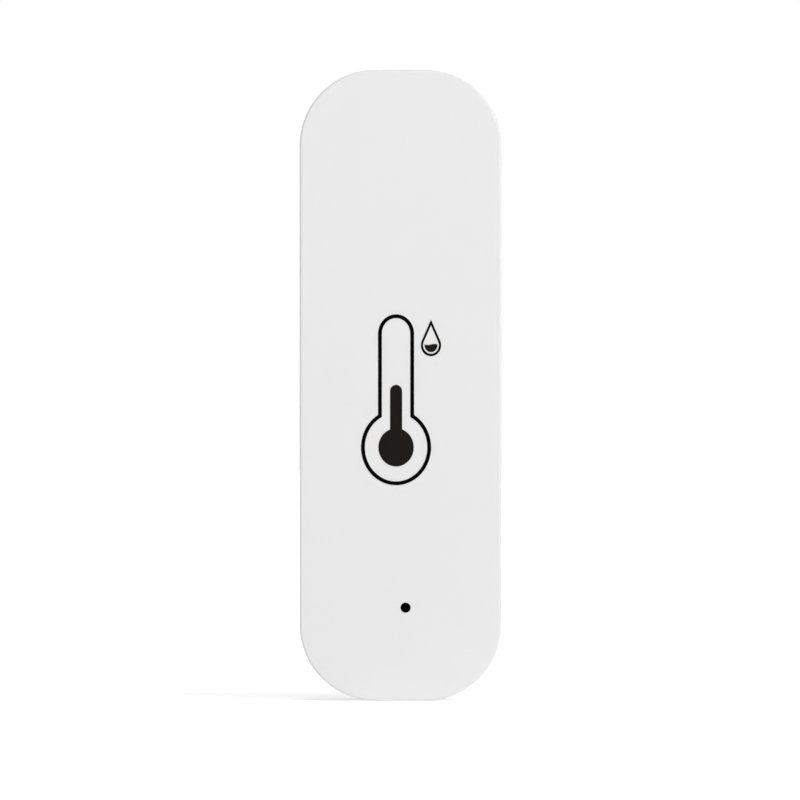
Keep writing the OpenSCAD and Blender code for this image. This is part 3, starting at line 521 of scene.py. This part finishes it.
def finishPiece(name, body, finish, hides=()):
    leaveEdit()
    applyPlace()
    piece = bpy.context.object
    piece.name = name
    piece.data.name = name
    piece.data.materials.clear()
    piece.data.materials.append(finish)
    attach(piece, body)
    if hides:
        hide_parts(*hides)
    print("  " + name, len(piece.data.polygons), "faces")
    return piece


print("winding the contact springs")
springSettings = {
    "wire": 0.5 * mm, "footAcross": 6.9 * mm, "tipAcross": 4.5 * mm, "closedTurns": 1.0,
    "openTurns": 2.5, "endTurns": 0.75, "closedPitch": 0.52 * mm, "stepsPerTurn": 28,
    "stepCuts": 2, "roundCuts": 4}


def springPoints(centre, plateZ, tipZ):             # from a closed turn on the plate to the cell's end
    way = 1 if tipZ > plateZ else -1
    wireHalf = springSettings["wire"] / 2
    footR = springSettings["footAcross"] / 2 - wireHalf
    tipR = springSettings["tipAcross"] / 2 - wireHalf
    closed, opened, ended = (springSettings[k] for k in ("closedTurns", "openTurns", "endTurns"))
    pitch = springSettings["closedPitch"]
    closedTop = wireHalf + closed * pitch
    openTop = abs(tipZ - plateZ) - wireHalf
    turns = closed + opened + ended
    count = round(turns * springSettings["stepsPerTurn"])
    points = []
    for i in range(count + 1):
        turn = turns * i / count
        share = min(1, max(0, (turn - closed) / opened))
        radius = footR + (tipR - footR) * share
        rise = wireHalf + pitch * min(turn, closed) + (openTop - closedTop) * share
        angle = 2 * math.pi * turn
        points.append((centre.x + radius * math.cos(angle), centre.y + way * radius * math.sin(angle),
                       plateZ + way * rise, 1))
    return points


def windSpring(name, hidden, cell, plateZ, tipZ):
    startPiece()
    points = springPoints(middle(cell), plateZ, tipZ)
    bpy.ops.curve.primitive_nurbs_path_add(location=(0, 0, 0))
    coil = bpy.context.object.data
    coil.splines.clear()
    line = coil.splines.new("NURBS")
    line.points.add(len(points) - 1)
    for point, place in zip(line.points, points):
        point.co = place
    line.order_u = 4
    line.use_endpoint_u = True
    coil.resolution_u = springSettings["stepCuts"]
    coil.bevel_depth = springSettings["wire"] / 2
    coil.bevel_resolution = springSettings["roundCuts"]
    coil.use_fill_caps = True
    bpy.ops.object.convert(target="MESH")
    bpy.ops.object.shade_smooth_by_angle(angle=crisp["metal"])
    finishPiece(name, "housing", springNickel, [hidden])


windSpring("coil_under_left_cell", "negative_spring", "left_cell_can",
           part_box("negative_contact")[1].z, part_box("left_cell_base")[0].z)
windSpring("coil_over_right_cell", "bridge_spring", "right_cell_can",
           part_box("bridge_contact")[0].z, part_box("right_cell_base")[1].z)

print("pressing the snap dome")
domeSettings = {"sheet": 0.08 * mm, "segments": 48, "rings": 32, "travel": 0.25 * mm}


def pressDome():
    startPiece()
    low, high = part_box("switch_dome")
    centre = middle("switch_dome")
    rise = high.y - low.y
    half = (high.x - low.x) / 2
    radius = (half * half + rise * rise) / (2 * rise)
    bpy.ops.mesh.primitive_uv_sphere_add(
        segments=domeSettings["segments"], ring_count=domeSettings["rings"], radius=radius,
        location=(centre.x, low.y + radius, centre.z), rotation=(math.pi / 2, 0, 0))
    applyPlace()
    bpy.ops.object.mode_set(mode="EDIT")
    bpy.ops.mesh.select_all(action="SELECT")
    bpy.ops.mesh.bisect(plane_co=(centre.x, high.y, centre.z), plane_no=(0, 1, 0), clear_outer=True,
                        threshold=cutNear)
    leaveEdit()
    shell = bpy.context.object.modifiers.new("sheet", "SOLIDIFY")
    shell.thickness = domeSettings["sheet"]
    shell.offset = -1
    applyAll()
    bpy.ops.object.shade_smooth_by_angle(angle=crisp["metal"])
    dome = finishPiece("snap_dome", "housing", stampedSteel, ["switch_dome"])
    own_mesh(dome)


pressDome()

# solder: each step of a ramp is (length, share of the height kept), and tabDrop stretches a drop
# for the tab of a contact
print("flowing the solder")
solderSettings = {
    "capLen": 0.36 * mm, "proud": 0.025 * mm, "edge": 0.012 * mm, "edgeCuts": 2,
    "ramp": [(0.06 * mm, 0.58), (0.08 * mm, 0.55), (0.12 * mm, 0.35)], "rampNarrows": 0.94,
    "notchTop": 1.2 * mm, "notchPitch": 1.5 * mm, "notchCount": 7, "dropAcross": 0.95 * mm,
    "dropHigh": 0.62 * mm, "dropOut": 0.55 * mm, "dropSegments": 20, "dropRings": 12,
    "dropFoot": 0.1 * mm, "footSpread": (1.15, 1, 1.05), "tabDrop": (2.4, -1.1, 1.4)}


def looseBoxes(name):                               # boxes of a node's solids, from a merged copy
    startPiece()
    twin = nodes[name].copy()
    twin.data = twin.data.copy()
    bpy.context.scene.collection.objects.link(twin)
    twin.select_set(True)
    bpy.context.view_layer.objects.active = twin
    bpy.ops.object.mode_set(mode="EDIT")
    bpy.ops.mesh.select_all(action="SELECT")
    bpy.ops.mesh.remove_doubles(threshold=mergeNear)
    bpy.ops.mesh.separate(type="LOOSE")
    leaveEdit()
    boxes = []
    for part in bpy.context.selected_objects:
        spots = [v.co for v in part.data.vertices]
        boxes.append((Vector([min(s[i] for s in spots) for i in range(3)]),
                      Vector([max(s[i] for s in spots) for i in range(3)])))
    bpy.ops.object.delete()
    return sorted(boxes, key=lambda box: tuple(box[0]))


def tinnedEnd(across, height):                      # a small part's tinned end with its solder ramp
    startPiece()
    capLen, proud = solderSettings["capLen"], solderSettings["proud"]
    bpy.ops.mesh.primitive_cube_add(size=1, location=(0, (height + proud) / 2, (proud - capLen) / 2),
                                    scale=(across + 2 * proud, height + proud, capLen + proud))
    applyPlace()
    bpy.ops.object.mode_set(mode="EDIT")
    pick("FACE", lambda face: face.normal.z > facing)
    for out, keep in solderSettings["ramp"]:
        bpy.ops.mesh.extrude_region_move(TRANSFORM_OT_translate={"value": (0, 0, out)})
        bpy.ops.transform.resize(value=(solderSettings["rampNarrows"], keep, 1),
                                 center_override=(0, 0, 0))
    leaveEdit()
    edge = bpy.context.object.modifiers.new("edge", "BEVEL")
    edge.width = solderSettings["edge"]
    edge.segments = solderSettings["edgeCuts"]
    edge.limit_method = "ANGLE"
    applyAll()
    bpy.ops.object.shade_smooth_by_angle(angle=crisp["soft"])
    return bpy.context.object


def notchDrop():                                    # a drop of solder for a half-round notch
    startPiece()
    bpy.ops.mesh.primitive_uv_sphere_add(
        segments=solderSettings["dropSegments"], ring_count=solderSettings["dropRings"], radius=0.5,
        scale=(2 * solderSettings["dropOut"], 2 * solderSettings["dropHigh"],
               solderSettings["dropAcross"]))
    applyPlace()
    bpy.ops.object.mode_set(mode="EDIT")
    bpy.ops.mesh.select_all(action="SELECT")
    bpy.ops.mesh.bisect(plane_co=(0, 0, 0), plane_no=(0, 1, 0), clear_inner=True, use_fill=True,
                        threshold=cutNear)
    pick("VERT", lambda vert: vert.co.y < solderSettings["dropFoot"])
    bpy.ops.transform.resize(value=solderSettings["footSpread"], center_override=(0, 0, 0))
    leaveEdit()
    bpy.ops.object.shade_smooth_by_angle(angle=crisp["soft"])
    return bpy.context.object


def setCopy(template, place, scale):                # a copy with its own mesh, scaled or mirrored
    twin = template.copy()
    twin.data = template.data.copy()
    bpy.context.scene.collection.objects.link(twin)
    twin.data.transform(Matrix.Translation(place) @ Matrix.Diagonal((*scale, 1)))
    if scale[0] * scale[1] * scale[2] < 0:
        twin.data.flip_normals()
    return twin


def joinCopies(copies, templates):
    startPiece()
    for template in templates:
        bpy.data.objects.remove(template)
    for copy in copies:
        copy.select_set(True)
    bpy.context.view_layer.objects.active = copies[0]
    bpy.ops.object.join()
    bpy.ops.object.mode_set(mode="EDIT")            # mirrored copies are turned the right way out
    bpy.ops.mesh.select_all(action="SELECT")
    bpy.ops.mesh.normals_make_consistent(inside=False)
    leaveEdit()


def flowSolder():
    boardMid = middle("main_board").y
    copies, templates = [], []
    for group in ("ceramic_capacitors", "chip_resistors"):
        boxes = looseBoxes(group)
        low, high = boxes[0]
        template = tinnedEnd(high.x - low.x, high.y - low.y)
        templates.append(template)
        for low, high in boxes:
            rear = (low.y + high.y) / 2 > boardMid
            for end in (-1, 1):
                place = Vector(((low.x + high.x) / 2, low.y if rear else high.y,
                                high.z if end > 0 else low.z))
                copies.append(setCopy(template, place, (1, 1 if rear else -1, end)))
    template = notchDrop()
    templates.append(template)
    low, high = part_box("radio_board")
    for side in (-1, 1):
        for i in range(solderSettings["notchCount"]):
            z = high.z - solderSettings["notchTop"] - i * solderSettings["notchPitch"]
            place = Vector((high.x if side > 0 else low.x, low.y, z))
            copies.append(setCopy(template, place, (side, 1, 1)))
    for contact in ("positive_contact", "negative_contact"):    # its tab comes out at the board's front
        tab = middle(contact)
        place = Vector((tab.x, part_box("main_board")[0].y, tab.z))
        copies.append(setCopy(template, place, solderSettings["tabDrop"]))
    joinCopies(copies, templates)
    finishPiece("solder_joints", "housing", solderTin)


flowSolder()

print("cutting the foam pad")
padSettings = {
    "corner": 4 * mm, "step": 0.3 * mm, "rows": 7, "pit": 0.07 * mm, "pitSize": 0.22 * mm,
    "rimPits": 0.5, "insets": [0.06 * mm, 0.15 * mm, 0.4 * mm, 0.9 * mm, 1.4 * mm],
    "wallNear": 0.05 * mm, "faceNear": 0.01 * mm}


def roundedPath(width, height, radius, step):       # points round a rounded rectangle, evenly spaced
    straightW, straightH = width - 2 * radius, height - 2 * radius
    quarter = math.pi * radius / 2
    stretches = [straightH, quarter, straightW, quarter] * 2
    total = sum(stretches)
    count = round(total / step)
    points = []
    for i in range(count):
        left = total * i / count
        leg = 0
        while left > stretches[leg]:
            left -= stretches[leg]
            leg += 1
        quarterTurns = leg // 2
        halfW, halfH = straightW / 2, straightH / 2
        if quarterTurns % 2 == 1:                   # the upper and lower ends
            halfW, halfH = halfH, halfW
        if leg % 2 == 0:
            x, z = halfW + radius, -halfH + left
        else:
            swing = left / radius
            x, z = halfW + radius * math.cos(swing), halfH + radius * math.sin(swing)
        cosine, sine = math.cos(quarterTurns * math.pi / 2), math.sin(quarterTurns * math.pi / 2)
        points.append((x * cosine - z * sine, x * sine + z * cosine))
    return points


def cutPad():
    startPiece()
    low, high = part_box("mounting_pad")
    centre = middle("mounting_pad")
    ring = roundedPath(high.x - low.x, high.z - low.z, padSettings["corner"], padSettings["step"])
    bpy.ops.mesh.primitive_circle_add(vertices=len(ring), radius=1 * mm, fill_type="NGON",
                                      location=(0, 0, 0))
    for vert, (x, z) in zip(bpy.context.object.data.vertices, ring):
        vert.co = (centre.x + x, low.y, centre.z + z)
    bpy.ops.object.mode_set(mode="EDIT")
    bpy.ops.mesh.select_all(action="SELECT")
    rise = (high.y - low.y) / padSettings["rows"]
    for _ in range(padSettings["rows"]):
        bpy.ops.mesh.extrude_region_move(TRANSFORM_OT_translate={"value": (0, rise, 0)})
    for side in (high.y, low.y):                    # both large faces get rings of quads
        pick("FACE", lambda face: len(face.verts) > 4
             and abs(face.calc_center_median().y - side) < padSettings["faceNear"])
        for width in padSettings["insets"]:
            bpy.ops.mesh.inset(thickness=width, depth=0)
    bpy.ops.mesh.select_all(action="SELECT")
    bpy.ops.mesh.normals_make_consistent(inside=False)
    leaveEdit()
    pad = bpy.context.object
    wall = pad.vertex_groups.new(name="wall")
    near = padSettings["wallNear"]
    for vert in pad.data.vertices:
        onWall = any(abs(vert.co[i] - edge[i]) < near for i in (0, 2) for edge in (low, high))
        between = low.y + near < vert.co.y < high.y - near
        if between or onWall:
            wall.add([vert.index], 1.0 if between else padSettings["rimPits"], "REPLACE")
    bubbles = bpy.data.textures.new("bubbles", "VORONOI")
    bubbles.noise_scale = padSettings["pitSize"]
    pits = pad.modifiers.new("pits", "DISPLACE")
    pits.texture = bubbles
    pits.texture_coords = "LOCAL"
    pits.vertex_group = "wall"
    pits.strength = -padSettings["pit"]
    pits.mid_level = 0
    applyAll()
    bpy.ops.object.shade_smooth_by_angle(angle=crisp["soft"])
    finishPiece("foam_pad", "rear_cover", foamWhite, ["mounting_pad"])


cutPad()

print("setting the stage")
viewSettings = {"frameWide": 101.5 * mm, "away": 1.8, "across": -0.076 * mm, "up": 38.12 * mm,
                "sensor": 36.0, "clipEnd": 50}


def placeCamera():                                  # a long lens, square to the front face
    camera = bpy.data.cameras.new("front_camera")
    camera.sensor_width = viewSettings["sensor"]
    camera.lens = viewSettings["sensor"] * viewSettings["away"] / viewSettings["frameWide"]
    camera.clip_end = viewSettings["clipEnd"]
    cameraObject = bpy.data.objects.new("front_camera", camera)
    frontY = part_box("front_shell")[0].y
    cameraObject.location = (viewSettings["across"], frontY - viewSettings["away"], viewSettings["up"])
    cameraObject.rotation_euler = (math.pi / 2, 0, 0)
    bpy.context.scene.collection.objects.link(cameraObject)
    bpy.context.scene.camera = cameraObject


placeCamera()

floorSettings = {"side": 12, "drop": 0.05 * mm, "colour": (0.86, 0.86, 0.86), "roughness": 0.9,
                 "glow": 0.22, "seen": 0.45, "seenFar": 0.9, "near": 0.1, "far": 1.6}


def seenDirectly(tree):                             # 1 for rays that show the background in the picture
    path = tree.nodes.new("ShaderNodeLightPath")
    names = ("Is Camera Ray", "Is Glossy Ray", "Is Transmission Ray")
    straight, glossy, through = (Sock(tree, path.outputs[name]) for name in names)
    return straight.either(glossy).either(through)


def layFloor():
    startPiece()
    bpy.ops.mesh.primitive_plane_add(size=floorSettings["side"],
                                     location=(0, 0, -floorSettings["drop"]))
    floor = bpy.context.object
    floor.name = "floor"
    paint, shader, spot = startFinish("floor_white")
    x, y, _ = spot.axes()
    squared = x * x + y * y
    away = squared.calc("POWER", squared, 0.5)
    far = away.make("MapRange", {}, {0: away, 1: floorSettings["near"], 2: floorSettings["far"]})
    shown = far.mix(grey(floorSettings["seen"]), grey(floorSettings["seenFar"]))
    wire(shader, {
        "Base Color": rgba(floorSettings["colour"]),
        "Roughness": floorSettings["roughness"],
        "Specular IOR Level": 0.0,
        "Emission Color": seenDirectly(spot.tree).mix(grey(floorSettings["glow"]), shown),
        "Emission Strength": 1.0,
    })
    floor.data.materials.append(paint)


layFloor()

skySettings = {"light": 0.3}


def lightSky():
    world = bpy.data.worlds.new("studio")
    bpy.context.scene.world = world
    world.use_nodes = True
    tree = world.node_tree
    plain = tree.nodes["Background"]
    plain.inputs["Strength"].default_value = skySettings["light"]
    plain.inputs["Color"].default_value = grey(1.0)
    white = tree.nodes.new("ShaderNodeBackground")
    white.inputs["Color"].default_value = grey(1.0)
    mixer = tree.nodes.new("ShaderNodeMixShader")
    tree.links.new(seenDirectly(tree).out, mixer.inputs[0])
    tree.links.new(plain.outputs[0], mixer.inputs[1])
    tree.links.new(white.outputs[0], mixer.inputs[2])
    tree.links.new(mixer.outputs[0], tree.nodes["World Output"].inputs["Surface"])


lightSky()

# soft lamps, each with its place, width, height and power; all look at the bar's middle
lamps = [
    {"name": "key_right", "place": (1.06, -1.09, 0.55), "wide": 0.8, "high": 0.8, "power": 9.8},
    {"name": "top_front", "place": (0.08, -0.88, 1.37), "wide": 0.8, "high": 0.8, "power": 7.4},
    {"name": "rear_fill", "place": (0.4, 1.5, 0.9), "wide": 1.0, "high": 1.0, "power": 8.5},
]
aim = Vector((0, 0, 40 * mm))
for lamp in lamps:
    light = bpy.data.lights.new(lamp["name"], "AREA")
    light.shape = "RECTANGLE"
    light.size = lamp["wide"]
    light.size_y = lamp["high"]
    light.energy = lamp["power"]
    lampObject = bpy.data.objects.new(lamp["name"], light)
    lampObject.location = lamp["place"]
    lampObject.rotation_euler = (aim - Vector(lamp["place"])).to_track_quat("-Z", "Y").to_euler()
    bpy.context.scene.collection.objects.link(lampObject)

bpy.context.scene.view_settings.view_transform = "Standard"

print("finishing")
